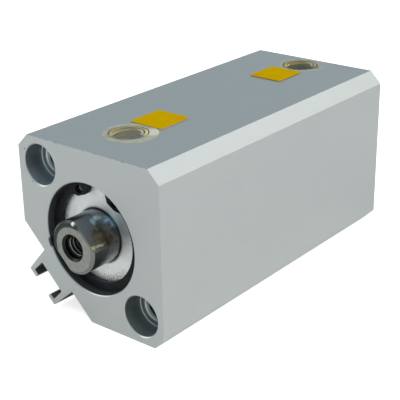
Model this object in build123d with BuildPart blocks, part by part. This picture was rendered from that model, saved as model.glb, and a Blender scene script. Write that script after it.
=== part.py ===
"""Compact square-bodied pneumatic cylinder with a female-threaded rod.

Frame: X to the right when the rod end is looked at, Y rearwards along the rod, Z up.
The origin is the point where the rod axis meets the front mounting face.
The rod is drawn in, and the cylinder lies on the flat underside of its body.
"""
import os
from math import cos, hypot, pi, radians, sin, sqrt, tan

from build123d import *

os.makedirs("parts", exist_ok=True)

# Clearances
running_fit = 0.03
seal_fit = 0.04
groove_play = 0.05
press_gap = 0.01
piston_clearance = 0.1
end_gap = 0.15

# Tube: the bore, the mounting holes and the stroke set its size
bore_diameter = 25.0
stroke = 40.0
sides_beyond_hole_circle = 0.55
upper_chamfer = 2.9
lower_chamfer = 2.5
corner_wall = 1.55

# Switch rails on the cut corner
rail_root_width = 11.2
rail_tip_width = 10.1
rail_height = 7.95
slot_width = 8.0
slot_floor_height = 3.15
lip_thickness = 1.0
slot_mouth = 5.0
rail_round = 0.35
rail_footing = 1.0

# Mounting holes on the diagonal
hole_diameter = 5.5
counterbore_diameter = 9.2
counterbore_depth = 5.1
counterbore_corner = 0.2
hole_wall = 1.75
hole_chamfer = 0.6
rim_chamfer = 0.25

# Rod cover and its seat in the bore
cover_seat_step = 0.15
cover_seat_depth = 11.0
mouth_chamfer = 0.2
cover_opening_gap = 0.3
cover_spigot_wall = 2.5
cover_spigot_length = 2.0
cover_chamfer = 0.3
seal_lip = 1.2
seal_section = 2.2
seal_length = 2.8
seal_waist = 0.5
bush_wall = 1.0
bush_chamfer = 0.2
gasket_cord = 1.7
gasket_groove_width = 2.2
gasket_from_shoulder = 3.9

# Snap ring
ring_front = 2.0
ring_thickness = 1.2
ring_groove_depth = 0.45
ring_width = 2.7
ring_gap_at = 85.5
ring_gap_width = 3.2
ring_gap_slant = 19.0
eye_width = 3.7
eye_tip_angle = 33.0
eye_root_angle = 48.0
eye_round = 1.1
eye_hole_diameter = 2.0
eye_hole_inset = 2.3
eye_hole_angle = 28.2

# Rod
rod_diameter = 12.0
rod_proud = 5.0
rod_end_chamfer = 0.5
flat_depth = 1.5
flats_length = 4.8
thread_tap_diameter = 5.1
thread_mouth_diameter = 6.1
thread_depth = 16.5
rod_shoulder = 2.0
spigot_chamfer = 0.6
spigot_groove_at = 3.2
spigot_groove_width = 1.7
spigot_cord = 0.9

# Piston
bumper_thickness = 2.0
bumper_width = 3.1
bumper_gap = 0.2
front_half_length = 10.8
magnet_length = 4.0
magnet_inset = 0.3
hub_wall = 3.0
piston_seal_at = 3.8
piston_seal_width = 3.2
piston_seal_depth = 2.8
piston_seal_waist = 0.35
wear_ring_at = 2.8
wear_ring_width = 3.2
wear_ring_depth = 1.1
wear_ring_split = 1.0
rear_half_rim = 6.0
rear_neck_length = 3.8
neck_wall = 2.0
nut_wall = 2.0
nut_thickness = 2.6
nut_play = 0.25
nut_pocket_depth = 3.2
piston_chamfer = 0.3

# Head end
plate_step = 0.9
head_plate_thickness = 3.0
rolled_rim_reach = 0.5
rolled_rim_thickness = 0.5
head_cord = 1.4
rear_bumper_thickness = 1.6
rear_bumper_width = 5.3

# Air ports
port_tap_diameter = 8.4
port_floor_wall = 0.8
port_passage_diameter = 3.4
port_behind_cover = 2.5
port_before_plate = 2.8

# Peel-off seals over the ports
film_margin = 1.9
film_thickness = 0.12
film_off_center = 0.5
tab_off_center = -0.3
tab_width = 8.9
tab_length = 9.6
tab_thickness = 0.12
tab_overlap = 0.4
tab_round = 0.5

# Radii and widths worked out from the sizes above
bore_r = bore_diameter / 2
cover_seat_r = bore_r + cover_seat_step
groove_r = cover_seat_r + ring_groove_depth
counterbore_r = counterbore_diameter / 2
hole_circle_r = groove_r + hole_wall + counterbore_r
hole_offset = hole_circle_r / sqrt(2)
half_width = hole_circle_r + sides_beyond_hole_circle
body_width = 2 * half_width
rod_r = rod_diameter / 2
spigot_r = rod_r - rod_shoulder
bush_r = rod_r + bush_wall
seal_groove_r = rod_r + seal_section
cover_opening_r = rod_r + cover_opening_gap
cover_spigot_r = bush_r + cover_spigot_wall
bumper_inner_r = rod_r + bumper_gap
bumper_outer_r = bumper_inner_r + bumper_width
piston_r = bore_r - piston_clearance
nut_apothem = spigot_r + nut_wall
nut_pocket_r = nut_apothem / cos(pi / 6) + nut_play
neck_r = nut_pocket_r + neck_wall
plate_seat_r = bore_r + plate_step
port_depth = half_width - plate_seat_r - port_floor_wall
film_r = port_tap_diameter / 2 + film_margin

# Places along the rod axis, measured rearwards from the front face
cover_front = ring_front + ring_thickness
cover_end = cover_seat_depth + cover_spigot_length
bumper_front = cover_end + end_gap + stroke
piston_start = bumper_front + bumper_thickness
magnet_start = piston_start + front_half_length
rear_half_start = magnet_start + magnet_length
neck_start = rear_half_start + rear_half_rim
piston_end = neck_start + rear_neck_length
rear_bumper_start = piston_end + end_gap
plate_start = rear_bumper_start + rear_bumper_thickness
plate_end = plate_start + head_plate_thickness
body_length = plate_end + rolled_rim_thickness
nut_seat = piston_end - nut_pocket_depth
rod_end = nut_seat + nut_thickness + nut_play
port_front_at = cover_seat_depth + port_behind_cover
port_rear_at = plate_start - port_before_plate


def across(distance):
    """Plane square to the rod axis, this far behind the front face, local X and Y as X and Z."""
    return Plane.XZ.offset(-distance)


# Two lengths that differ by less than this are the same
tolerance = 0.001


def circles_of(piece, radius):
    """Circular edges of a piece that have this radius."""
    rings = piece.edges().filter_by(GeomType.CIRCLE)
    return rings.filter_by(lambda edge: abs(edge.radius - radius) < tolerance)


def hand_over(piece, name):
    """Label a finished piece and write it."""
    piece.part.label = name
    export_step(piece.part, f"parts/{name}.step")


# Tube: the extruded section with its rails, then everything that is machined into it
across_corner = Plane(origin=(0, 0, 0), x_dir=(-1, 0, 1), z_dir=(0, -1, 0))
cut_face = groove_r + corner_wall
cut_corner_leg = body_width - sqrt(2) * cut_face
slot_floor = cut_face + slot_floor_height
rail_tip = cut_face + rail_height
lip_underside = rail_tip - lip_thickness
hole_centers = [(-hole_offset, hole_offset), (hole_offset, -hole_offset)]
port_centers = [(0, port_front_at), (0, port_rear_at)]

with BuildPart() as cylinder_body:
    with BuildSketch(across(0)) as section:
        Rectangle(body_width, body_width)
        chamfer(section.vertices().group_by(Axis.Y)[-1], upper_chamfer)
        chamfer(section.vertices().group_by(Axis.Y)[0].sort_by(Axis.X)[-1], lower_chamfer)
        chamfer(section.vertices().group_by(Axis.Y)[0].sort_by(Axis.X)[0], cut_corner_leg)
    extrude(amount=-body_length)
    with BuildSketch(across_corner) as rails:
        Polygon(
            (-rail_root_width / 2, cut_face - rail_footing),
            (-rail_root_width / 2, cut_face),
            (-rail_tip_width / 2, rail_tip),
            (rail_tip_width / 2, rail_tip),
            (rail_root_width / 2, cut_face),
            (rail_root_width / 2, cut_face - rail_footing),
            align=None,
        )
        with Locations((0, (slot_floor + lip_underside) / 2)):
            Rectangle(slot_width, lip_underside - slot_floor, mode=Mode.SUBTRACT)
        with Locations((0, rail_tip)):
            Rectangle(slot_mouth, 3 * lip_thickness, mode=Mode.SUBTRACT)
        slot_corners = rails.vertices().filter_by(lambda v: v.Y > slot_floor - rail_round)
        fillet(slot_corners, rail_round)
    extrude(amount=-body_length)
    with BuildSketch(Plane.XY):
        Polygon(
            (0, 0),
            (cover_seat_r + mouth_chamfer, 0),
            (cover_seat_r, mouth_chamfer),
            (cover_seat_r, ring_front),
            (groove_r, ring_front),
            (groove_r, cover_front + groove_play),
            (cover_seat_r, cover_front + groove_play),
            (cover_seat_r, cover_seat_depth),
            (bore_r, cover_seat_depth),
            (bore_r, plate_start),
            (plate_seat_r, plate_start),
            (plate_seat_r, plate_end),
            (plate_seat_r - rolled_rim_reach, plate_end),
            (plate_seat_r - rolled_rim_reach, body_length),
            (0, body_length),
            align=None,
        )
    revolve(axis=Axis.Y, mode=Mode.SUBTRACT)
    with BuildSketch(across(0)):
        with Locations(*hole_centers):
            Circle(hole_diameter / 2)
    extrude(amount=-body_length, mode=Mode.SUBTRACT)
    for counterbore_start in (0, body_length - counterbore_depth):
        with BuildSketch(across(counterbore_start)):
            with Locations(*hole_centers):
                Circle(counterbore_r)
        extrude(amount=-counterbore_depth, mode=Mode.SUBTRACT)
    hole_edges = circles_of(cylinder_body, hole_diameter / 2)
    chamfer(hole_edges, hole_chamfer)
    counterbore_edges = circles_of(cylinder_body, counterbore_r).sort_by(Axis.Y)
    rims = counterbore_edges[:2] + counterbore_edges[-2:]
    floors = counterbore_edges[2:-2]
    fillet(floors, counterbore_corner)
    chamfer(rims, rim_chamfer)
    for port_hole_r, port_hole_depth in (
        (port_tap_diameter / 2, port_depth),
        (port_passage_diameter / 2, half_width - cover_spigot_r),
    ):
        with BuildSketch(Plane.XY.offset(half_width)):
            with Locations(*port_centers):
                Circle(port_hole_r)
        extrude(amount=-port_hole_depth, mode=Mode.SUBTRACT)
hand_over(cylinder_body, "cylinder_body")

# Rod cover: turned, with a groove for its gasket outside and one for the rod seal inside
seal_start = cover_front + seal_lip
seal_end = seal_start + seal_length
cover_r = cover_seat_r - running_fit
gasket_floor = cover_seat_r - gasket_cord - groove_play
gasket_at = cover_seat_depth - gasket_from_shoulder
gasket_groove_start = gasket_at - gasket_groove_width / 2

with BuildPart() as rod_cover:
    with BuildSketch(Plane.XY):
        Polygon(
            (cover_opening_r, cover_front),
            (cover_r - cover_chamfer, cover_front),
            (cover_r, cover_front + cover_chamfer),
            (cover_r, gasket_groove_start),
            (gasket_floor, gasket_groove_start),
            (gasket_floor, gasket_groove_start + gasket_groove_width),
            (cover_r, gasket_groove_start + gasket_groove_width),
            (cover_r, cover_seat_depth),
            (cover_spigot_r, cover_seat_depth),
            (cover_spigot_r, cover_end),
            (bush_r, cover_end),
            (bush_r, seal_end),
            (seal_groove_r, seal_end),
            (seal_groove_r, seal_start),
            (cover_opening_r, seal_start),
            align=None,
        )
    revolve(axis=Axis.Y)
hand_over(rod_cover, "rod_cover")

with BuildPart() as cover_gasket:
    with BuildSketch(Plane.XY):
        with Locations((gasket_floor + gasket_cord / 2, gasket_at)):
            Circle(gasket_cord / 2)
    revolve(axis=Axis.Y)
hand_over(cover_gasket, "cover_gasket")

# Rod seal: a scraper lip at the front and a sealing lip at the back
lip_r = rod_r + seal_fit
lip_waist_r = lip_r + seal_waist
lip_width = seal_length / 4

with BuildPart() as rod_seal:
    with BuildSketch(Plane.XY):
        Polygon(
            (lip_r, seal_start + groove_play),
            (lip_r, seal_start + lip_width),
            (lip_waist_r, seal_start + 1.5 * lip_width),
            (lip_waist_r, seal_end - 1.5 * lip_width),
            (lip_r, seal_end - lip_width),
            (lip_r, seal_end - groove_play),
            (seal_groove_r - groove_play, seal_end - groove_play),
            (seal_groove_r - groove_play, seal_start + groove_play),
            align=None,
        )
    revolve(axis=Axis.Y)
hand_over(rod_seal, "rod_seal")

with BuildPart() as rod_bush:
    with BuildSketch(Plane.XY):
        Polygon(
            (rod_r + running_fit, seal_end + bush_chamfer),
            (rod_r + running_fit + bush_chamfer, seal_end),
            (bush_r, seal_end),
            (bush_r, cover_end),
            (rod_r + running_fit + bush_chamfer, cover_end),
            (rod_r + running_fit, cover_end - bush_chamfer),
            align=None,
        )
    revolve(axis=Axis.Y)
hand_over(rod_bush, "rod_bush")

# Snap ring: a hoop, an eye at each end, and the gap that lets it be squeezed
hoop_inner_r = groove_r - ring_width
eye_root_r = groove_r - ring_width / 2
eye_tip_r = groove_r - eye_width
eye_hole_at_r = groove_r - eye_hole_inset
gap_half_width = ring_gap_width / 2
gap_half_width_at_axis = gap_half_width + groove_r * tan(radians(ring_gap_slant))

with BuildPart() as retaining_ring:
    with BuildSketch(across(ring_front)) as ring_face:
        Circle(groove_r - groove_play)
        Circle(hoop_inner_r, mode=Mode.SUBTRACT)
        with BuildLine():
            tip = CenterArc((0, 0), eye_tip_r, ring_gap_at - eye_tip_angle, 2 * eye_tip_angle)
            root = CenterArc((0, 0), eye_root_r, ring_gap_at - eye_root_angle, 2 * eye_root_angle)
            Line(tip @ 0, root @ 0)
            Line(tip @ 1, root @ 1)
        make_face()
        with Locations(Location((0, 0, 0), (0, 0, ring_gap_at - 90))):
            Polygon(
                (-gap_half_width_at_axis, 0),
                (-gap_half_width, groove_r),
                (gap_half_width, groove_r),
                (gap_half_width_at_axis, 0),
                align=None,
                mode=Mode.SUBTRACT,
            )
        inner_corners = ring_face.vertices().filter_by(lambda v: hypot(v.X, v.Y) < hoop_inner_r + tolerance)
        fillet(inner_corners.filter_by(lambda v: v.Y > eye_round), eye_round)
        for side in (-1, 1):
            eye_at = radians(ring_gap_at + side * eye_hole_angle)
            with Locations((eye_hole_at_r * cos(eye_at), eye_hole_at_r * sin(eye_at))):
                Circle(eye_hole_diameter / 2, mode=Mode.SUBTRACT)
    extrude(amount=-ring_thickness)
hand_over(retaining_ring, "retaining_ring")

# Rod: turned, with two wrench flats milled at 45 degrees and a blind hole for the thread
hole_end = -rod_proud + thread_depth
spigot_groove_start = piston_start + spigot_groove_at
spigot_groove_floor = spigot_r - spigot_cord - groove_play

with BuildPart() as piston_rod:
    with BuildSketch(Plane.XY):
        Polygon(
            (0, -rod_proud),
            (rod_r - rod_end_chamfer, -rod_proud),
            (rod_r, -rod_proud + rod_end_chamfer),
            (rod_r, piston_start),
            (spigot_r, piston_start),
            (spigot_r, spigot_groove_start),
            (spigot_groove_floor, spigot_groove_start),
            (spigot_groove_floor, spigot_groove_start + spigot_groove_width),
            (spigot_r, spigot_groove_start + spigot_groove_width),
            (spigot_r, rod_end - spigot_chamfer),
            (spigot_r - spigot_chamfer, rod_end),
            (0, rod_end),
            align=None,
        )
    revolve(axis=Axis.Y)
    with BuildSketch(Plane.XY):
        mouth_bevel = (thread_mouth_diameter - thread_tap_diameter) / 2
        Polygon(
            (0, -rod_proud),
            (thread_mouth_diameter / 2, -rod_proud),
            (thread_tap_diameter / 2, -rod_proud + mouth_bevel),
            (thread_tap_diameter / 2, hole_end),
            (0, hole_end + thread_tap_diameter / 4),
            align=None,
        )
    revolve(axis=Axis.Y, mode=Mode.SUBTRACT)
    with BuildSketch(Plane.XZ.offset(rod_proud)):
        for side in (-1, 1):
            reach = side * (rod_r - flat_depth + rod_r / 2) / sqrt(2)
            with Locations(Location((reach, reach, 0), (0, 0, 45))):
                Rectangle(rod_r, 2 * rod_diameter)
    extrude(amount=-flats_length, mode=Mode.SUBTRACT)
hand_over(piston_rod, "piston_rod")

# Piston: two halves on the rod's spigot, with the magnet between them
seal_groove_start = piston_start + piston_seal_at - piston_seal_width / 2
seal_groove_floor = piston_r - piston_seal_depth
fit_r = spigot_r + press_gap

with BuildPart() as piston_front:
    with BuildSketch(Plane.XY):
        Polygon(
            (fit_r, piston_start),
            (piston_r - piston_chamfer, piston_start),
            (piston_r, piston_start + piston_chamfer),
            (piston_r, seal_groove_start),
            (seal_groove_floor, seal_groove_start),
            (seal_groove_floor, seal_groove_start + piston_seal_width),
            (piston_r, seal_groove_start + piston_seal_width),
            (piston_r, magnet_start),
            (fit_r, magnet_start),
            align=None,
        )
    revolve(axis=Axis.Y)
hand_over(piston_front, "piston_front")

# Piston seal: two lips with a waist between them
seal_r = bore_r - running_fit
seal_side = seal_groove_start + groove_play
seal_far_side = seal_groove_start + piston_seal_width - groove_play

with BuildPart() as piston_seal:
    with BuildSketch(Plane.XY):
        Polygon(
            (seal_groove_floor + groove_play, seal_side),
            (seal_r, seal_side),
            (seal_r, seal_side + piston_seal_width / 4),
            (seal_r - piston_seal_waist, (seal_side + seal_far_side) / 2),
            (seal_r, seal_far_side - piston_seal_width / 4),
            (seal_r, seal_far_side),
            (seal_groove_floor + groove_play, seal_far_side),
            align=None,
        )
    revolve(axis=Axis.Y)
hand_over(piston_seal, "piston_seal")

with BuildPart() as piston_magnet:
    with BuildSketch(Plane.XY):
        magnet_r = piston_r - magnet_inset
        Polygon(
            (spigot_r + hub_wall, magnet_start),
            (magnet_r, magnet_start),
            (magnet_r, rear_half_start),
            (spigot_r + hub_wall, rear_half_start),
            align=None,
        )
    revolve(axis=Axis.Y)
hand_over(piston_magnet, "piston_magnet")

wear_start = rear_half_start + wear_ring_at - wear_ring_width / 2
wear_floor = piston_r - wear_ring_depth
hub_r = spigot_r + hub_wall - press_gap

with BuildPart() as piston_rear:
    with BuildSketch(Plane.XY):
        Polygon(
            (fit_r, magnet_start),
            (hub_r, magnet_start),
            (hub_r, rear_half_start),
            (piston_r, rear_half_start),
            (piston_r, wear_start),
            (wear_floor, wear_start),
            (wear_floor, wear_start + wear_ring_width),
            (piston_r, wear_start + wear_ring_width),
            (piston_r, neck_start - piston_chamfer),
            (piston_r - piston_chamfer, neck_start),
            (neck_r, neck_start),
            (neck_r, piston_end),
            (nut_pocket_r, piston_end),
            (nut_pocket_r, nut_seat),
            (fit_r, nut_seat),
            align=None,
        )
    revolve(axis=Axis.Y)
hand_over(piston_rear, "piston_rear")

# Wear ring: a split band that carries the piston in the bore
with BuildPart() as wear_ring:
    with BuildSketch(across(wear_start + groove_play)):
        Circle(bore_r - running_fit)
        Circle(wear_floor + groove_play, mode=Mode.SUBTRACT)
        with Locations((0, -bore_r)):
            Rectangle(wear_ring_split, 4 * wear_ring_depth, mode=Mode.SUBTRACT)
    extrude(amount=-(wear_ring_width - 2 * groove_play))
hand_over(wear_ring, "wear_ring")

with BuildPart() as piston_gasket:
    with BuildSketch(Plane.XY):
        gasket_center = spigot_groove_start + spigot_groove_width / 2
        with Locations((spigot_groove_floor + spigot_cord / 2, gasket_center)):
            Circle(spigot_cord / 2)
    revolve(axis=Axis.Y)
hand_over(piston_gasket, "piston_gasket")

with BuildPart() as piston_nut:
    with BuildSketch(across(nut_seat)):
        RegularPolygon(nut_apothem, 6, major_radius=False)
        Circle(fit_r, mode=Mode.SUBTRACT)
    extrude(amount=-nut_thickness)
hand_over(piston_nut, "piston_nut")

with BuildPart() as front_bumper:
    with BuildSketch(across(bumper_front)):
        Circle(bumper_outer_r)
        Circle(bumper_inner_r, mode=Mode.SUBTRACT)
    extrude(amount=-bumper_thickness)
    fillet(front_bumper.edges().group_by(Axis.Y)[0], bumper_thickness / 4)
hand_over(front_bumper, "front_bumper")

# Head end: a disc on its seat, its gasket, and the bumper on its inner face
plate_r = plate_seat_r - press_gap
plate_middle = (plate_start + plate_end) / 2
head_groove_floor = plate_r - head_cord - groove_play

with BuildPart() as head_plate:
    with BuildSketch(Plane.XY):
        Polygon(
            (0, plate_start),
            (plate_r, plate_start),
            (plate_r, plate_middle - head_cord / 2 - groove_play),
            (head_groove_floor, plate_middle - head_cord / 2 - groove_play),
            (head_groove_floor, plate_middle + head_cord / 2 + groove_play),
            (plate_r, plate_middle + head_cord / 2 + groove_play),
            (plate_r, plate_end),
            (0, plate_end),
            align=None,
        )
    revolve(axis=Axis.Y)
hand_over(head_plate, "head_plate")

with BuildPart() as head_gasket:
    with BuildSketch(Plane.XY):
        with Locations((head_groove_floor + head_cord / 2, plate_middle)):
            Circle(head_cord / 2)
    revolve(axis=Axis.Y)
hand_over(head_gasket, "head_gasket")

with BuildPart() as rear_bumper:
    with BuildSketch(across(rear_bumper_start)):
        Circle(bumper_outer_r)
        Circle(bumper_outer_r - rear_bumper_width, mode=Mode.SUBTRACT)
    extrude(amount=-rear_bumper_thickness)
    fillet(rear_bumper.edges().group_by(Axis.Y)[0], rear_bumper_thickness / 4)
hand_over(rear_bumper, "rear_bumper")

# Peel-off seals: a clear disc over each port, and a pull tab on a strip of the same film
# The tabs lie on the inboard side of the ports, so one points rearwards and one forwards
# Both were laid a little askew: the discs sit to the right of their ports, the tabs to the left
for name, port_at, inboard in (("front", port_front_at, 1), ("rear", port_rear_at, -1)):
    tab_at = port_at + inboard * (film_r - tab_overlap + tab_length / 2)
    with BuildPart() as port_seal:
        with BuildSketch(Plane.XY.offset(half_width)):
            with Locations((film_off_center, port_at)):
                Circle(film_r)
            with Locations((tab_off_center, tab_at)):
                RectangleRounded(tab_width, tab_length, tab_round)
        extrude(amount=film_thickness)
    hand_over(port_seal, f"port_seal_{name}")
    with BuildPart() as pull_tab:
        with BuildSketch(Plane.XY.offset(half_width + film_thickness)):
            with Locations((tab_off_center, tab_at)):
                RectangleRounded(tab_width, tab_length, tab_round)
        extrude(amount=tab_thickness)
    hand_over(pull_tab, f"pull_tab_{name}")
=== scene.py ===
"""Compact pneumatic cylinder: finishes, threads, port seals, light and camera on the CAD frame."""
from math import radians, sqrt, tau

import bmesh
import bpy
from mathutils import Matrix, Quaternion, Vector, noise


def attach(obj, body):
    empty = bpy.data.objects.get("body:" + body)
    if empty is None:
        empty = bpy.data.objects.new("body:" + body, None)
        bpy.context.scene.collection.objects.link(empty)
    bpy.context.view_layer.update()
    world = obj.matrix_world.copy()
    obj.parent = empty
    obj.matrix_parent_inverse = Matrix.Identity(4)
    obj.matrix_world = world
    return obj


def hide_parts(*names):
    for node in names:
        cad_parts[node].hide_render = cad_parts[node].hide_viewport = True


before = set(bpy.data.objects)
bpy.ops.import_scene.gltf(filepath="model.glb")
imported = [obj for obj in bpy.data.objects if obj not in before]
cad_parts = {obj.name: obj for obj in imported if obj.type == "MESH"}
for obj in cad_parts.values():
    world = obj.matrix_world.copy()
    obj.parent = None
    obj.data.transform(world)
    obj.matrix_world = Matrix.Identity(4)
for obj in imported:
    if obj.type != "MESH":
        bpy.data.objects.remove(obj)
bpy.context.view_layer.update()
mm = 0.001

# Tube
# An aluminium extrusion, cut to length, bored and counterbored, then anodised matte and clear.
# Faint die lines run along it, and its milled front end has small knocks from handling.


def colour(red, green, blue):
    """A colour as a screen shows it, 0 to 255, as the shader wants it."""
    return tuple(((part / 255 + 0.055) / 1.055) ** 2.4 for part in (red, green, blue)) + (1.0,)


def add(tree, kind, inputs, **settings):
    """A shader node. An input, by name or number, gets a value or the socket that feeds it."""
    made = tree.nodes.new("ShaderNode" + kind)
    for setting, value in settings.items():
        setattr(made, setting, value)
    for socket, value in inputs.items():
        if isinstance(value, bpy.types.NodeSocket):
            tree.links.new(value, made.inputs[socket])
        else:
            made.inputs[socket].default_value = value
    return made


def calc(tree, operation, first, second=0.0):
    """Two values or sockets put together by a math node."""
    return add(tree, "Math", {0: first, 1: second}, operation=operation).outputs[0]


def product(tree, *shares):
    """Several shares multiplied, so that all of them have to hold."""
    total = shares[0]
    for share in shares[1:]:
        total = calc(tree, "MULTIPLY", total, share)
    return total


def passing(tree, value, start, end):
    """0 up to start, 1 from end on, smooth between; the other way round if start is above end."""
    sockets = {"Value": value, "From Min": start, "From Max": end}
    return add(tree, "MapRange", sockets, interpolation_type="SMOOTHSTEP").outputs[0]


def band(tree, value, low, high, soft):
    """1 between low and high, with soft edges this wide to either side."""
    above = passing(tree, value, low - soft, low + soft)
    return product(tree, above, passing(tree, value, high + soft, high - soft))


def spread(tree, value, low, high):
    """A share from 0 to 1 brought between low and high."""
    return add(tree, "MapRange", {"Value": value, "To Min": low, "To Max": high}).outputs[0]


def paint(tree, share, under, over):
    """The colour under, with this share of the colour over laid on it."""
    return add(tree, "Mix", {0: share, 6: under, 7: over}, data_type="RGBA").outputs[2]


def stain(tree, tone, place, share, over):
    """The tone, with this share of the colour over laid on it in one place."""
    return paint(tree, calc(tree, "MULTIPLY", place, share), tone, over)


def reach(tree, first, second, first_at=0.0, second_at=0.0):
    """Distance from an axis at these two coordinates."""
    squares = []
    for value, at in ((first, first_at), (second, second_at)):
        gap = calc(tree, "SUBTRACT", value, at)
        squares.append(calc(tree, "MULTIPLY", gap, gap))
    return calc(tree, "SQRT", calc(tree, "ADD", *squares))


def patch(tree, first, second, at, outer, inner):
    """A round patch about two coordinates: 1 up to the inner radius, 0 from the outer one on."""
    return passing(tree, reach(tree, first, second, *at), outer, inner)


def diagonal(tree, operation, x, z):
    """Distance along a line at 45 degrees: Z plus or minus X, over the root of two."""
    return calc(tree, "MULTIPLY", calc(tree, operation, z, x), 1 / sqrt(2))


def specks(tree, spot, per_mm, detail=2.0, along=(1.0, 1.0, 1.0)):
    """Uneven noise, 0 to 1, with this many spots to the millimetre."""
    turned = add(tree, "Mapping", {0: spot, "Scale": along}).outputs[0]
    sockets = {"Vector": turned, "Scale": per_mm, "Detail": detail}
    return add(tree, "TexNoise", sockets).outputs[0]


def new_finish(name, base, metallic, roughness, **fixed):
    """A material, its node tree and shader, and its place in millimetres: vector, X, Y and Z."""
    material = bpy.data.materials.new(name)
    material.use_nodes = True
    tree = material.node_tree
    shader = tree.nodes["Principled BSDF"]
    values = {"Base Color": base, "Metallic": metallic, "Roughness": roughness}
    values.update({socket.replace("_", " "): value for socket, value in fixed.items()})
    for socket, value in values.items():
        shader.inputs[socket].default_value = value
    metres = add(tree, "TexCoord", {}).outputs["Object"]
    spot = add(tree, "VectorMath", {0: metres, "Scale": 1 / mm}, operation="SCALE").outputs[0]
    axes = add(tree, "SeparateXYZ", {0: spot}).outputs
    return material, tree, shader, (spot, *axes)


def relief(tree, shader, height, depth, under=None):
    """Bump from a height of 0 to 1 that stands for depth in millimetres, over an earlier bump."""
    sockets = {"Height": height, "Distance": depth * mm, "Strength": 1.0}
    if under is not None:
        sockets["Normal"] = under.outputs[0]
    bump = add(tree, "Bump", sockets)
    tree.links.new(bump.outputs[0], shader.inputs["Normal"])
    return bump


def feed(tree, shader, socket, value):
    """A socket of the shader follows this value."""
    tree.links.new(value, shader.inputs[socket])


def wear(node, material):
    """A CAD node takes this material."""
    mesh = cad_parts[node].data
    mesh.materials.clear()
    mesh.materials.append(material)


body_length = 85.0
half_width = 20.0
bore_mouth_r = 13.1
hole_offset = 13.753
counterbore_r = 4.6
counterbore_floor = 5.1
hole_mouth_r = 3.35
slot_half_width = 4.0
port_r = 4.2
port_floor = 14.2
port_places = {"front": 13.5, "rear": 78.7}

# Out from the axis, square to the cut corner: its face, the slot's floor and the rails' lips.
cut_face = 14.65
slot_floor = 17.8
lip_underside = 21.6

anodised = colour(196, 201, 200)
material, tree, shader, (spot, x, y, z) = new_finish(
    "anodised", anodised, metallic=0.9, roughness=0.42
)
grain = specks(tree, spot, 5.0, 3.0)
die_lines = specks(tree, spot, 2.2, 3.0, (1.0, 0.012, 1.0))
blotches = specks(tree, spot, 0.22, 2.0)
radius = reach(tree, x, z)
from_end = calc(tree, "MINIMUM", y, calc(tree, "SUBTRACT", body_length, y))
off_ends = passing(tree, from_end, 0.02, 0.2)
off_bore = passing(tree, radius, bore_mouth_r + 0.3, bore_mouth_r + 0.9)
along_sides = product(tree, passing(tree, from_end, 0.02, 0.06), off_bore)
tone = paint(tree, spread(tree, blotches, 0.0, 0.35), anodised, colour(181, 190, 192))
tone = stain(tree, tone, along_sides, spread(tree, die_lines, 0.0, 0.3), colour(206, 211, 212))
# The bore's wall is painted darker, as painted shade.
in_bore = passing(tree, radius, bore_mouth_r + 0.2, bore_mouth_r - 0.2)
in_bore = product(tree, in_bore, passing(tree, from_end, 0.05, 0.3))
tone = stain(tree, tone, in_bore, 0.75, colour(72, 80, 80))

# The counterbores are painted darker, as painted shade, with painted highlights along the edges at
# the floor and at the hole.
# The left one is bluer, and a painted highlight lies on its wall below.
for side, hole_tone, lit_share in ((-1, colour(100, 112, 118), 0.8), (1, colour(88, 96, 88), 0.3)):
    from_hole = reach(tree, x, z, side * hole_offset, -side * hole_offset)
    in_hole = passing(tree, from_hole, counterbore_r + 0.12, counterbore_r)
    in_hole = product(tree, in_hole, passing(tree, from_end, 0.1, 0.3))
    tone = stain(tree, tone, in_hole, 0.55, hole_tone)
    below_axis = passing(tree, calc(tree, "ADD", z, side * hole_offset), 0.0, -counterbore_r)
    on_wall = passing(tree, from_hole, counterbore_r - 0.3, counterbore_r - 0.1)
    lit_wall = product(tree, in_hole, below_axis, on_wall)
    tone = stain(tree, tone, lit_wall, lit_share, colour(196, 214, 226))
    floor_edge = passing(tree, from_hole, counterbore_r - 0.2, counterbore_r - 0.1)
    by_floor = passing(tree, from_end, counterbore_floor - 0.22, counterbore_floor - 0.13)
    floor_edge = product(tree, in_hole, floor_edge, by_floor)
    hole_edge = band(tree, from_hole, hole_mouth_r - 0.25, hole_mouth_r + 0.05, 0.05)
    past_floor = passing(tree, from_end, counterbore_floor - 0.15, counterbore_floor - 0.1)
    not_deep = passing(tree, from_end, counterbore_floor + 0.4, counterbore_floor + 0.2)
    hole_edge = product(tree, hole_edge, past_floor, not_deep)
    edge_highlights = calc(tree, "MAXIMUM", floor_edge, hole_edge)
    tone = stain(tree, tone, edge_highlights, 0.7, colour(244, 248, 250))

# The switch slot and the underside of the lower rail are painted darker, as painted shade.
# Grime lies at one spot of the bore's mouth.
outward = calc(tree, "MULTIPLY", diagonal(tree, "ADD", x, z), -1.0)
sideways = calc(tree, "ABSOLUTE", diagonal(tree, "SUBTRACT", x, z))
in_slot = product(
    tree,
    passing(tree, outward, slot_floor - 0.15, slot_floor),
    passing(tree, outward, lip_underside + 0.15, lip_underside - 0.05),
    passing(tree, sideways, slot_half_width + 0.1, slot_half_width - 0.05),
    off_ends,
)
tone = stain(tree, tone, in_slot, 0.75, colour(88, 98, 94))
under_rail = product(
    tree,
    passing(tree, outward, cut_face - 0.25, cut_face + 0.55),
    passing(tree, z, -13.0, -14.5),
    passing(tree, sideways, slot_half_width + 0.75, slot_half_width + 0.95),
    off_ends,
)
tone = stain(tree, tone, under_rail, 0.85, colour(46, 52, 48))
mouth_dirt_at = (-12.1, -3.9)
mouth_dirt = patch(tree, x, z, mouth_dirt_at, 1.4, 0.7)
mouth_dirt = product(tree, mouth_dirt, passing(tree, radius, bore_mouth_r + 0.2, bore_mouth_r))
tone = stain(tree, tone, mouth_dirt, 0.9, colour(44, 50, 48))
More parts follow.
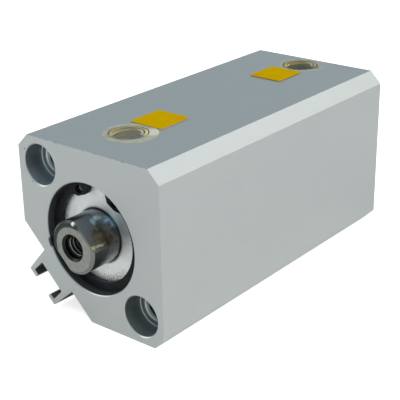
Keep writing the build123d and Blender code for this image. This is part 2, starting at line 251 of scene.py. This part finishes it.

# Yellow chromate shows in the upper turns of the ports, below a dark rim.
# Deeper down, the port walls are painted darker, as painted shade.
for port_y in port_places.values():
    from_port = reach(tree, x, y, 0.0, port_y)
    in_port = passing(tree, from_port, port_r + 0.12, port_r + 0.02)
    in_port = product(tree, in_port, passing(tree, z, port_floor - 0.2, port_floor + 0.1))
    tone = paint(tree, in_port, tone, colour(88, 88, 76))
    gilt = product(tree, in_port, passing(tree, z, half_width - 1.3, half_width - 0.9))
    tone = paint(tree, gilt, tone, colour(240, 214, 96))
    port_edge = product(tree, in_port, passing(tree, z, half_width - 0.2, half_width - 0.05))
    port_rim = passing(tree, from_port, port_r + 0.4, port_r + 0.25)
    port_rim = product(tree, port_rim, passing(tree, z, half_width - 0.1, half_width - 0.05))
    dark_rim = calc(tree, "MAXIMUM", port_edge, port_rim)
    tone = stain(tree, tone, dark_rim, 0.9, colour(60, 46, 24))

# The top edge of the front is rubbed in places, and two small knocks lie by the left counterbore.
at_top_edge = passing(tree, z, half_width - 0.35, half_width - 0.1)
at_top_edge = product(tree, at_top_edge, passing(tree, from_end, 0.4, 0.1))
worn_edge = product(tree, at_top_edge, passing(tree, specks(tree, spot, 0.9, 3.0), 0.5, 0.62))
tone = stain(tree, tone, worn_edge, 0.45, colour(120, 130, 134))
for knock_at, knock_r in (((-18.05, 16.57), 0.24), ((-16.39, 9.41), 0.2)):
    knock = patch(tree, x, z, knock_at, knock_r, knock_r / 2)
    knock = product(tree, knock, passing(tree, y, 0.1, 0.05))
    tone = stain(tree, tone, knock, 0.8, colour(50, 56, 58))
feed(tree, shader, "Base Color", tone)
satin = spread(tree, grain, 0.36, 0.48)
feed(tree, shader, "Roughness", calc(tree, "ADD", satin, calc(tree, "MULTIPLY", under_rail, 0.45)))
feed(tree, shader, "Metallic", spread(tree, under_rail, 0.9, 0.0))
fine = relief(tree, shader, grain, 0.004)
relief(tree, shader, product(tree, along_sides, die_lines), 0.006, fine)
wear("cylinder_body", material)

# Head end
# A turned disc on a gasket closes the rear. The rim of the tube is rolled over its edge.
# A rubber ring on the inside of the disc cushions the piston.


def turned_finish(name, tone, clouded):
    """Bare metal from the lathe: fine rings round the Y axis, and a light cloudy stain."""
    ring_pitch = 0.16
    roughness = 0.42
    material, tree, shader, (spot, x, y, z) = new_finish(
        name, tone, metallic=0.75, roughness=roughness, Anisotropic=0.4
    )
    rings = calc(tree, "SINE", calc(tree, "MULTIPLY", reach(tree, x, z), tau / ring_pitch))
    broken = calc(tree, "ADD", rings, specks(tree, spot, 1.5, 2.0))
    clouds = specks(tree, spot, 0.35, 3.0)
    feed(tree, shader, "Base Color", paint(tree, passing(tree, clouds, 0.45, 0.75), tone, clouded))
    relief(tree, shader, broken, 0.004)
    uneven = spread(tree, specks(tree, spot, 3.0), roughness - 0.05, roughness + 0.08)
    feed(tree, shader, "Roughness", uneven)
    around = add(tree, "Tangent", {}, direction_type="RADIAL", axis="Y").outputs[0]
    feed(tree, shader, "Tangent", around)
    return material, tree, shader, (spot, x, y, z)


def rubber_finish(name, tone, roughness):
    """Moulded rubber: dull, with a fine uneven skin and a little grey bloom."""
    material, tree, shader, (spot, *_) = new_finish(name, tone, metallic=0.0, roughness=roughness)
    skin = specks(tree, spot, 2.5, 3.0)
    bloom = passing(tree, specks(tree, spot, 0.6), 0.5, 0.8)
    feed(tree, shader, "Base Color", stain(tree, tone, bloom, 0.3, colour(92, 94, 94)))
    feed(tree, shader, "Roughness", spread(tree, skin, roughness - 0.08, roughness + 0.1))
    relief(tree, shader, skin, 0.01)
    return material


head_metal = turned_finish("turned_head", colour(190, 194, 193), colour(180, 184, 182))[0]
wear("head_plate", head_metal)
nitrile = rubber_finish("nitrile", colour(30, 31, 32), 0.55)
wear("head_gasket", nitrile)
cushion = rubber_finish("cushion", colour(112, 112, 104), 0.5)
wear("rear_bumper", cushion)

# Piston
# Two turned aluminium halves are clamped on the rod's spigot by a thin zinc-plated nut.
# A ring magnet lies between them, and a split band carries the piston in the bore.
# A lip seal keeps the air on one side, and a rubber ring in front ends the stroke softly.
for half in ("piston_front", "piston_rear"):
    wear(half, head_metal)
for seal in ("piston_gasket", "piston_seal"):
    wear(seal, nitrile)
wear("front_bumper", cushion)

bronze_brown = colour(96, 78, 54)
material, tree, shader, (spot, *_) = new_finish(
    "wear_band", bronze_brown, metallic=0.0, roughness=0.5
)
weave = specks(tree, spot, 3.0, 2.0, (1.0, 4.0, 1.0))
feed(tree, shader, "Base Color", paint(tree, weave, bronze_brown, colour(70, 54, 36)))
relief(tree, shader, weave, 0.015)
wear("wear_ring", material)

magnet_grey = colour(58, 58, 60)
material, tree, shader, (spot, *_) = new_finish(
    "bonded_magnet", magnet_grey, metallic=0.2, roughness=0.6
)
grit = specks(tree, spot, 6.0, 2.0)
coarse = passing(tree, grit, 0.5, 0.7)
feed(tree, shader, "Base Color", paint(tree, coarse, magnet_grey, colour(86, 86, 88)))
relief(tree, shader, grit, 0.01)
wear("piston_magnet", material)

zinc = colour(186, 186, 178)
material, tree, shader, (spot, *_) = new_finish("zinc", zinc, metallic=1.0, roughness=0.35)
clouds = specks(tree, spot, 0.8, 3.0)
feed(tree, shader, "Base Color", paint(tree, clouds, zinc, colour(160, 158, 142)))
feed(tree, shader, "Roughness", spread(tree, clouds, 0.28, 0.45))
relief(tree, shader, specks(tree, spot, 4.0), 0.005)
wear("piston_nut", material)

# Rod
# Ground and plated steel, faced and drilled at its end, with two milled wrench flats.
# The end has stood open: rust has crept in behind the flat, with a golden edge below it.
rod_r = 6.0
rod_end = -5.0
chamfer = 0.5
face_r = rod_r - chamfer
flats_end = -0.2
flat_distance = 4.5
drilled_r = 3.05
rust_at = (-1.8, -0.4)
rust_core_at = (-2.7, -0.1)
glint_at = (0.45, face_r)
plated = colour(118, 122, 124)
material, tree, shader, (spot, x, y, z) = new_finish(
    "rod_steel", plated, metallic=0.9, roughness=0.3
)
radius = reach(tree, x, z)
across_flat = diagonal(tree, "SUBTRACT", x, z)
over_flat = diagonal(tree, "ADD", x, z)
facing_up = passing(tree, over_flat, 1.0, 3.0)
ripple = specks(tree, spot, 1.2, 3.0)
tone = paint(tree, ripple, plated, colour(98, 102, 106))
on_flat = passing(tree, over_flat, flat_distance - 0.04, flat_distance - 0.01)
on_flat = product(tree, on_flat, passing(tree, y, flats_end + 0.1, flats_end - 0.1))
tone = paint(tree, on_flat, tone, paint(tree, ripple, colour(102, 110, 116), colour(80, 88, 92)))

# Two streaky blue painted highlights lie at the back of the flat, and the lower back is painted
# paler, as painted light.
gleams = 0.0
streaks = specks(tree, spot, 1.2, 3.0, (1.0, 0.3, 1.0))
for gleam_at, gleam_r, gleam_tone in (
    ((2.3, 0.4), 1.6, colour(172, 200, 214)),
    ((0.3, 2.2), 2.3, colour(172, 218, 252)),
):
    gleam = patch(tree, across_flat, y, gleam_at, gleam_r, 0.3)
    gleam = product(tree, gleam, facing_up, passing(tree, streaks, 0.3, 0.6))
    tone = paint(tree, gleam, tone, gleam_tone)
    gleams = calc(tree, "MAXIMUM", gleams, gleam)
lower_back = product(
    tree,
    passing(tree, over_flat, 3.6, 1.5),
    passing(tree, y, -2.5, 1.0),
    passing(tree, across_flat, 1.0, -3.0),
)
tone = paint(tree, lower_back, tone, colour(158, 162, 156))

# The rust is thin and brown at its rim, darker at its core, and pitted.
near_rust = reach(tree, across_flat, calc(tree, "MULTIPLY", y, 0.8), *rust_at)
rust_shape = calc(tree, "ADD", near_rust, spread(tree, specks(tree, spot, 0.8, 5.0), -2.0, 2.0))
rust = product(tree, passing(tree, rust_shape, 4.6, 0.6), facing_up)
tone = stain(tree, tone, rust, 0.85, colour(88, 82, 62))
core_edge = spread(tree, specks(tree, spot, 1.6, 4.0), -0.8, 0.8)
core_shape = calc(tree, "ADD", reach(tree, across_flat, y, *rust_core_at), core_edge)
rust_core = product(tree, passing(tree, core_shape, 1.8, 0.4), facing_up)
tone = stain(tree, tone, rust_core, 0.85, colour(66, 54, 38))
pitted = passing(tree, specks(tree, spot, 1.1, 6.0), 0.5, 0.6)
pits = product(tree, passing(tree, rust_shape, 3.4, 2.0), facing_up, pitted)
tone = stain(tree, tone, pits, 0.5, colour(42, 36, 26))

# The golden edge runs along the flat's lower side and widens towards the rod's end.
wavy = calc(tree, "ADD", across_flat, spread(tree, specks(tree, spot, 0.9, 2.0), 2.4, 3.5))
golden_width = spread(tree, passing(tree, y, -2.6, rod_end), 0.34, 0.8)
past_width = calc(tree, "SUBTRACT", calc(tree, "ABSOLUTE", wavy), golden_width)
golden = product(
    tree,
    passing(tree, past_width, 0.0, -0.24),
    passing(tree, y, -0.3, -1.4),
    passing(tree, over_flat, 3.9, 4.2),
    passing(tree, specks(tree, spot, 1.5, 4.0), 0.32, 0.54),
)
tone = stain(tree, tone, golden, 0.8, colour(198, 188, 142))

# The chamfer and the faced end are bare, with a glint above and shade at the upper left.
near_end = passing(tree, y, rod_end + chamfer + 0.06, rod_end + chamfer)
tone = paint(tree, near_end, tone, colour(128, 130, 124))
faced = passing(tree, y, rod_end + 0.06, rod_end + 0.02)
faced = product(tree, faced, passing(tree, radius, drilled_r - 0.05, drilled_r + 0.05))
end_metal = paint(tree, specks(tree, spot, 1.3, 5.0), colour(172, 174, 168), colour(132, 136, 132))
tone = paint(tree, faced, tone, end_metal)
rim_line = product(tree, passing(tree, radius, face_r - 0.25, face_r - 0.15), faced)
tone = stain(tree, tone, rim_line, 0.5, colour(96, 98, 92))
shaded_rim = passing(tree, radius, face_r - 1.1, face_r - 0.7)
shaded_rim = product(tree, near_end, shaded_rim, passing(tree, across_flat, 1.0, 2.6))
tone = stain(tree, tone, shaded_rim, 0.9, colour(38, 44, 46))
glint = product(tree, near_end, patch(tree, x, z, glint_at, 0.6, 0.2))
tone = paint(tree, glint, tone, colour(206, 210, 208))
# The drilled hole is painted dark, as painted shade.
in_hole = passing(tree, radius, drilled_r + 0.1, drilled_r - 0.05)
feed(tree, shader, "Base Color", paint(tree, in_hole, tone, colour(40, 42, 38)))

# Rust, the flat and the faced end are duller than the ground shaft.
# Rust, the painted highlights and the flat are less metallic.
dull = calc(tree, "MAXIMUM", calc(tree, "MULTIPLY", rust, 0.9), on_flat)
dull = calc(tree, "MAXIMUM", faced, dull)
feed(tree, shader, "Roughness", spread(tree, dull, 0.28, 0.46))
less_metallic = calc(tree, "MAXIMUM", rust, gleams)
less_metallic = calc(tree, "MAXIMUM", less_metallic, calc(tree, "MULTIPLY", on_flat, 0.9))
feed(tree, shader, "Metallic", spread(tree, less_metallic, 0.9, 0.3))
facing_pitch = 0.35
facing_rings = calc(tree, "SINE", calc(tree, "MULTIPLY", radius, tau / facing_pitch))
ground = relief(tree, shader, specks(tree, spot, 4.0, 2.0, (0.15, 3.0, 0.15)), 0.003)
turned = relief(tree, shader, calc(tree, "MULTIPLY", facing_rings, faced), 0.006, ground)
relief(tree, shader, product(tree, rust, specks(tree, spot, 3.0, 4.0)), 0.05, turned)
wear("piston_rod", material)

# Rod thread
# A metric thread cut in the blind hole of the rod end, with a pitch of a millimetre.
# Its crests carry painted highlights, and painted shade turns the hole black with depth.


def put_in_scene(mesh, name, material):
    """Hands a finished bmesh over as an object."""
    bmesh.ops.scale(mesh, vec=(mm, mm, mm), verts=mesh.verts[:])
    data = bpy.data.meshes.new(name)
    mesh.to_mesh(data)
    mesh.free()
    data.materials.append(material)
    piece = bpy.data.objects.new(name, data)
    bpy.context.scene.collection.objects.link(piece)
    return piece


def helix_thread(name, wall_r, crest_r, pitch, turns, start, out, material):
    """Ridges of an inside thread: a closed profile wound along a hole, from start inwards."""
    steps_per_turn = 40
    in_wall = 0.06
    foot = pitch * 0.86
    crest_width = pitch * 0.14
    crest_start = (foot - crest_width) / 2
    profile = [
        (wall_r + in_wall, 0.0),
        (wall_r + in_wall, foot),
        (wall_r, foot),
        (crest_r, crest_start + crest_width),
        (crest_r, crest_start),
        (wall_r, 0.0),
    ]
    mesh = bmesh.new()
    side = Vector((1.0, 0.0, 0.0))
    corners = [mesh.verts.new(start + side * r - out * depth) for r, depth in profile]
    bmesh.ops.spin(
        mesh, geom=[mesh.faces.new(corners)], cent=start, axis=out, angle=turns * tau,
        steps=steps_per_turn * turns, dvec=-out * pitch / steps_per_turn,
    )
    bmesh.ops.holes_fill(mesh, edges=mesh.edges[:], sides=len(profile))
    bmesh.ops.remove_doubles(mesh, verts=mesh.verts[:], dist=0.002)
    bmesh.ops.recalc_face_normals(mesh, faces=mesh.faces[:])
    return put_in_scene(mesh, name, material)


tapped_r = 2.55
rod_crest_r = 2.2
rod_thread_pitch = 1.0
rod_thread_turns = 12
material, tree, shader, (spot, x, y, z) = new_finish(
    "cut_thread", colour(200, 200, 194), metallic=0.8, roughness=0.3
)
crest = passing(tree, reach(tree, x, z), rod_crest_r + 0.07, rod_crest_r + 0.02)
tone = paint(tree, crest, colour(34, 32, 27), colour(222, 222, 216))
tone = paint(tree, passing(tree, y, -3.4, -0.6), tone, colour(6, 6, 6))
feed(tree, shader, "Base Color", tone)
relief(tree, shader, specks(tree, spot, 5.0), 0.004)
first_turn = Vector((0.0, rod_end + 0.7, 0.0))
toward_rod_end = Vector((0.0, -1.0, 0.0))
rod_thread = helix_thread(
    "rod_thread", tapped_r, rod_crest_r, rod_thread_pitch, rod_thread_turns,
    first_turn, toward_rod_end, material,
)
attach(rod_thread, "rod_and_piston")

# Rod cover
# A turned aluminium cover lies in the mouth of the bore, with the rod's bronze bush and seal in it.
# Its face is bright from the lathe, with brown specks of dirt low by the snap ring.
# The seal's thin wiper lip, grey with dust, shows between it and the rod.
material, tree, shader, (spot, x, y, z) = turned_finish(
    "turned_cover", colour(248, 251, 251), colour(234, 238, 238)
)
radius = reach(tree, x, z)
by_snap_ring = product(
    tree,
    passing(tree, radius, 8.4, 9.4),
    passing(tree, z, -5.6, -7.4),
    passing(tree, x, -4.4, -2.4),
)
dirt = product(tree, passing(tree, specks(tree, spot, 4.5, 2.0), 0.4, 0.7), by_snap_ring)
turned_tone = shader.inputs["Base Color"].links[0].from_socket
tone = stain(tree, turned_tone, dirt, 0.8, colour(112, 108, 78))
# A patch on the right of the face is painted darker, as painted shade.
painted_shade_patch = patch(tree, x, z, (8.4, 5.0), 4.6, 2.2)
tone = stain(tree, tone, painted_shade_patch, 0.55, colour(132, 144, 148))
# The face is painted darker next to the rod, as painted shade.
by_rod = passing(tree, radius, rod_r + 0.8, rod_r + 0.3)
feed(tree, shader, "Base Color", stain(tree, tone, by_rod, 0.5, colour(84, 86, 80)))
wear("rod_cover", material)
for seal in ("cover_gasket", "rod_seal"):
    wear(seal, nitrile)

lip_inner_r = rod_r + 0.04
lip_outer_r = rod_r + 0.28
lip_front = 3.35
lip_slant = 0.15
lip_back = 4.2
lip_section = (
    (lip_inner_r, lip_front + lip_slant),
    (lip_outer_r, lip_front),
    (lip_outer_r, lip_back),
    (lip_inner_r, lip_back),
)
wiper_mesh = bmesh.new()
corners = [wiper_mesh.verts.new((lip_r, lip_y, 0.0)) for lip_r, lip_y in lip_section]
outline = [wiper_mesh.edges.new((corners[i - 1], corners[i])) for i in range(len(corners))]
bmesh.ops.spin(
    wiper_mesh, geom=corners + outline, cent=(0.0, 0.0, 0.0),
    axis=(0.0, 1.0, 0.0), angle=tau, steps=96, use_merge=True,
)
bmesh.ops.recalc_face_normals(wiper_mesh, faces=wiper_mesh.faces[:])
dusty_rubber = rubber_finish("wiper_rubber", colour(104, 106, 104), 0.5)
wiper = put_in_scene(wiper_mesh, "wiper_lip", dusty_rubber)
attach(wiper, "tube")

bronze = colour(176, 142, 92)
material, tree, shader, (spot, *_) = new_finish("bronze", bronze, metallic=1.0, roughness=0.45)
pores = specks(tree, spot, 5.0, 2.0)
oily = passing(tree, pores, 0.55, 0.7)
feed(tree, shader, "Base Color", paint(tree, oily, bronze, colour(98, 76, 50)))
relief(tree, shader, pores, 0.01)
wear("rod_bush", material)

# Snap ring
# Punched from spring steel, blackened and oiled, and sprung into its groove in the bore.
# It holds the cover in. Its rim is greyer where it meets the groove.
blackened = colour(5, 8, 18)
material, tree, shader, (spot, x, y, z) = new_finish(
    "black_spring_steel", blackened, metallic=0.0, roughness=0.5, Specular_IOR_Level=0.18
)
oiled = passing(tree, specks(tree, spot, 0.8, 3.0), 0.45, 0.8)
tone = paint(tree, oiled, blackened, colour(18, 24, 34))
by_groove = passing(tree, reach(tree, x, z), bore_mouth_r - 0.9, bore_mouth_r - 0.4)
feed(tree, shader, "Base Color", paint(tree, by_groove, tone, colour(36, 42, 38)))
feed(tree, shader, "Roughness", spread(tree, specks(tree, spot, 2.5, 3.0), 0.34, 0.52))
relief(tree, shader, specks(tree, spot, 4.0, 3.0), 0.006)
wear("retaining_ring", material)

# Port threads
# The threads of the two air ports, tapped into the tube's wall at 28 turns to the inch.
# Yellow chromate is left in the upper turns, and the lower ones are painted darker, as painted
# shade.
port_crest_r = 3.85
port_pitch = 0.907
port_turns = 5
material, tree, shader, (spot, x, y, z) = new_finish(
    "port_thread", colour(206, 186, 128), metallic=1.0, roughness=0.3
)
tone = paint(tree, specks(tree, spot, 1.2, 3.0), colour(236, 216, 140), colour(170, 136, 50))
lower_turns = passing(tree, z, half_width - 0.9, half_width - 1.5)
feed(tree, shader, "Base Color", paint(tree, lower_turns, tone, colour(84, 84, 66)))
relief(tree, shader, specks(tree, spot, 4.0), 0.005)
up = Vector((0.0, 0.0, 1.0))
for name, port_y in port_places.items():
    start = Vector((0.0, port_y, half_width - 0.1))
    thread = helix_thread(
        f"port_thread_{name}", port_r, port_crest_r, port_pitch, port_turns, start, up, material
    )
    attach(thread, "tube")

# Port seals
# Clear adhesive discs keep dirt out of the ports until they are piped up.
# Each has a pull tab of opaque yellow film. They lie slightly uneven where they were pressed on.
film_r = 6.1
film_off_center = 0.5
film_thickness = 0.12
film_rings = 12
film_spokes = 72
wave_height = 0.05
waves_per_mm = 0.45
tab_width = 8.9
tab_length = 9.6
tab_overlap = 0.4
tab_off_center = -0.3
tab_round = 0.5


def rounded_strip(mesh, center, size, low, high):
    """A thin slab with rounded upright corners, in a mesh that may hold more."""
    made = bmesh.ops.create_cube(mesh, size=1.0)["verts"]
    bmesh.ops.scale(mesh, vec=(*size, high - low), verts=made)
    bmesh.ops.translate(mesh, vec=(*center, (low + high) / 2), verts=made)
    upright = [
        edge for edge in mesh.edges
        if edge.verts[0] in made and abs(edge.verts[0].co.z - edge.verts[1].co.z) > (high - low) / 2
    ]
    bmesh.ops.bevel(
        mesh, geom=upright, offset=tab_round, affect="EDGES", segments=6, profile=0.5, material=-1
    )


film_material, tree, shader, (spot, x, y, z) = new_finish(
    "clear_film", colour(232, 234, 222), metallic=0.0, roughness=0.22, Alpha=0.2
)
haze = specks(tree, spot, 0.5, 3.0)
tone = paint(tree, haze, colour(232, 230, 200), colour(206, 206, 180))
from_ports = [reach(tree, x, y, 0.0, port_y) for port_y in port_places.values()]
from_nearest = calc(tree, "MINIMUM", *from_ports)
rear_one = passing(tree, y, 40.0, 50.0)

# The film is hazy all over and whiter where it is glued down, most of all on its right side.
# The front one has a milky patch there.
cloud = calc(tree, "MULTIPLY", spread(tree, haze, 0.06, 0.2), spread(tree, rear_one, 1.0, 0.5))
glued = passing(tree, from_nearest, port_r - 0.1, port_r + 0.3)
glued = calc(tree, "MULTIPLY", glued, spread(tree, rear_one, 0.14, 0.03))
glued = calc(tree, "MULTIPLY", glued, spread(tree, passing(tree, x, 0.0, 5.0), 0.9, 1.7))
opaque = calc(tree, "ADD", cloud, glued)
milky_at = (3.9, 16.6)
milky = passing(tree, from_nearest, 3.2, 3.5)
milky = product(tree, milky, patch(tree, x, y, milky_at, 3.0, 1.4))
tone = paint(tree, milky, tone, colour(226, 222, 200))
opaque = calc(tree, "ADD", opaque, calc(tree, "MULTIPLY", milky, 0.5))

# Faint dark and golden lines ring the port, where the film bends over its edge.
# Further in lie a dark line of painted shade and a cream crescent of painted highlight.
for port_y, from_port in zip(port_places.values(), from_ports):
    inward = calc(tree, "SUBTRACT", y, port_y)
    up_left = calc(tree, "SUBTRACT", inward, calc(tree, "MULTIPLY", x, 0.7))
    at_rim = passing(tree, up_left, -3.5, -0.5)
    inner_side = passing(tree, inward, 0.6, 2.0)
    inner_right = product(tree, passing(tree, x, -1.0, 1.0), passing(tree, inward, 0.2, 1.2))
    for ring_in, ring_out, ring_tone, ring_share, ring_place in (
        (4.15, 4.45, colour(78, 56, 10), 0.55, at_rim),
        (3.65, 4.1, colour(232, 212, 130), 0.35, at_rim),
        (3.25, 3.55, colour(66, 50, 16), 0.45, inner_side),
        (2.7, 3.2, colour(226, 222, 204), 0.3, inner_right),
    ):
        ring = product(tree, band(tree, from_port, ring_in, ring_out, 0.05), ring_place)
        tone = paint(tree, ring, tone, ring_tone)
        opaque = calc(tree, "ADD", opaque, calc(tree, "MULTIPLY", ring, ring_share))
feed(tree, shader, "Base Color", tone)
feed(tree, shader, "Alpha", opaque)
relief(tree, shader, specks(tree, spot, 0.8, 2.0), 0.02)

tab_material, tree, shader, (spot, x, y, z) = new_finish(
    "yellow_tab", colour(200, 164, 0), metallic=0.0, roughness=0.7, Specular_IOR_Level=0.0
)
tone = paint(tree, specks(tree, spot, 0.3, 3.0), colour(206, 171, 0), colour(200, 155, 0))
# Each tab has one warmer spot.
for stain_at in ((2.9, 27.4), (-3.1, 64.5)):
    tone = stain(tree, tone, patch(tree, x, y, stain_at, 1.9, 0.4), 0.6, colour(214, 140, 0))
feed(tree, shader, "Base Color", tone)
relief(tree, shader, specks(tree, spot, 1.0, 3.0), 0.02)

for name, port_y in port_places.items():
    inboard = 1 if port_y < body_length / 2 else -1
    film_top = half_width + film_thickness
    tab_center = (tab_off_center, port_y + inboard * (film_r - tab_overlap + tab_length / 2))
    film_center = (film_off_center, port_y, half_width)
    film_mesh = bmesh.new()
    middle = film_mesh.verts.new(film_center)
    rim = film_mesh.verts.new((film_off_center + film_r, port_y, half_width))
    spoke = film_mesh.edges.new((middle, rim))
    bmesh.ops.subdivide_edges(film_mesh, edges=[spoke], cuts=film_rings - 1)
    bmesh.ops.spin(
        film_mesh, geom=film_mesh.verts[:] + film_mesh.edges[:], cent=film_center,
        axis=up, angle=tau, steps=film_spokes, use_merge=True,
    )
    bmesh.ops.remove_doubles(film_mesh, verts=film_mesh.verts[:], dist=0.01)
    bmesh.ops.recalc_face_normals(film_mesh, faces=film_mesh.faces[:])
    raised = bmesh.ops.extrude_face_region(film_mesh, geom=film_mesh.faces[:])["geom"]
    raised = [item for item in raised if isinstance(item, bmesh.types.BMVert)]
    bmesh.ops.translate(film_mesh, vec=(0.0, 0.0, film_thickness), verts=raised)
    for corner in film_mesh.verts:
        lift = noise.noise(corner.co * waves_per_mm + Vector((port_y, 0.0, 0.0)))
        corner.co.z += wave_height * max(0.0, lift)
    rounded_strip(film_mesh, tab_center, (tab_width, tab_length), half_width, film_top)
    bmesh.ops.recalc_face_normals(film_mesh, faces=film_mesh.faces[:])
    film_piece = put_in_scene(film_mesh, f"port_film_{name}", film_material)
    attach(film_piece, f"{name}_port_seal")
    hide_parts(f"port_seal_{name}")

    tab_top = film_top + film_thickness
    tab_mesh = bmesh.new()
    rounded_strip(tab_mesh, tab_center, (tab_width, tab_length), film_top, tab_top)
    bmesh.ops.recalc_face_normals(tab_mesh, faces=tab_mesh.faces[:])
    tab_piece = put_in_scene(tab_mesh, f"yellow_tab_{name}", tab_material)
    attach(tab_piece, f"{name}_port_seal")
    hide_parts(f"pull_tab_{name}")

# Floor
# A plain pale floor just under the body. It glows for the camera, so that it looks white.
# It keeps the object's shadow, and throws a little warm light back up.


def background_share(tree, straight):
    """How much of the background a ray sees: straight, through film, or a tenth in reflections."""
    rays = add(tree, "LightPath", {}).outputs
    looked_at = calc(tree, "MAXIMUM", rays["Is Camera Ray"], rays["Is Transmission Ray"])
    reflected = calc(tree, "MULTIPLY", rays["Is Glossy Ray"], 0.1)
    return calc(tree, "MAXIMUM", calc(tree, "MULTIPLY", looked_at, straight), reflected)


floor_size = 3000.0
floor_gap = 0.02
floor_material = bpy.data.materials.new("floor")
floor_material.use_nodes = True
tree = floor_material.node_tree
tree.nodes.remove(tree.nodes["Principled BSDF"])
glow = add(tree, "Emission", {"Strength": background_share(tree, 0.75)})
matte = add(tree, "BsdfDiffuse", {"Color": (0.84, 0.8, 0.76, 1.0)})
both = add(tree, "AddShader", {0: glow.outputs[0], 1: matte.outputs[0]})
tree.links.new(both.outputs[0], tree.nodes["Material Output"].inputs["Surface"])

floor_mesh = bmesh.new()
bmesh.ops.create_grid(floor_mesh, x_segments=1, y_segments=1, size=floor_size)
bmesh.ops.translate(floor_mesh, vec=(0.0, 0.0, -half_width - floor_gap), verts=floor_mesh.verts[:])
floor = put_in_scene(floor_mesh, "floor", floor_material)

# Light
# A grey room that looks white to the camera, and a soft box above on the right, which the bevel
# reflects. A weaker one stands at the front left, and a faint warm one behind.
white = (1.0, 1.0, 1.0, 1.0)
grey_room = (0.344, 0.406, 0.444, 1.0)
world = bpy.data.worlds.new("room")
bpy.context.scene.world = world
world.use_nodes = True
tree = world.node_tree
room = paint(tree, background_share(tree, 1.0), grey_room, white)
feed(tree, tree.nodes["Background"], "Color", room)


def soft_box(name, toward, width, height, watts, tint=(1.0, 1.0, 1.0)):
    """An area lamp that looks at the object from this direction. Its sizes are in metres."""
    distance = 0.7
    aim = Vector((0.0, 0.04, 0.0))
    light = bpy.data.lights.new(name, "AREA")
    light.shape = "RECTANGLE"
    light.size, light.size_y = width, height
    light.energy = watts
    light.color = tint
    lamp = bpy.data.objects.new(name, light)
    bpy.context.scene.collection.objects.link(lamp)
    direction = Vector(toward).normalized()
    lamp.location = aim + direction * distance
    lamp.rotation_mode = "QUATERNION"
    lamp.rotation_quaternion = (-direction).to_track_quat("-Z", "Y")


soft_box("behind", (0.39, 0.71, 0.58), width=0.5, height=0.4, watts=0.7, tint=(1.0, 0.92, 0.84))
soft_box("front_left", (-0.8, -0.5, 0.45), width=0.4, height=0.4, watts=1.15, tint=(1.0, 0.97, 0.94))
soft_box("above_right", (0.7, -0.2, 0.68), width=0.5, height=0.5, watts=2.9)

# Camera
# It stands to the right of the rod end and above it, turned slightly about its line of sight.
# Its place, turn and lens were fitted to edges and corners in the photograph.
camera_place = Vector((144.545, -140.465, 93.682)) * mm
line_of_sight = Vector((-0.58117, 0.71395, -0.39053))
camera_roll = radians(-0.92)
camera = bpy.data.objects.new("camera", bpy.data.cameras.new("camera"))
bpy.context.scene.collection.objects.link(camera)
camera.data.sensor_width = 36.0
camera.data.lens = 94.45
camera.data.clip_start = 0.01
camera.location = camera_place
camera.rotation_mode = "QUATERNION"
level = line_of_sight.to_track_quat("-Z", "Y")
camera.rotation_quaternion = level @ Quaternion((0.0, 0.0, 1.0), camera_roll)
bpy.context.scene.camera = camera
bpy.context.scene.view_settings.view_transform = "Standard"
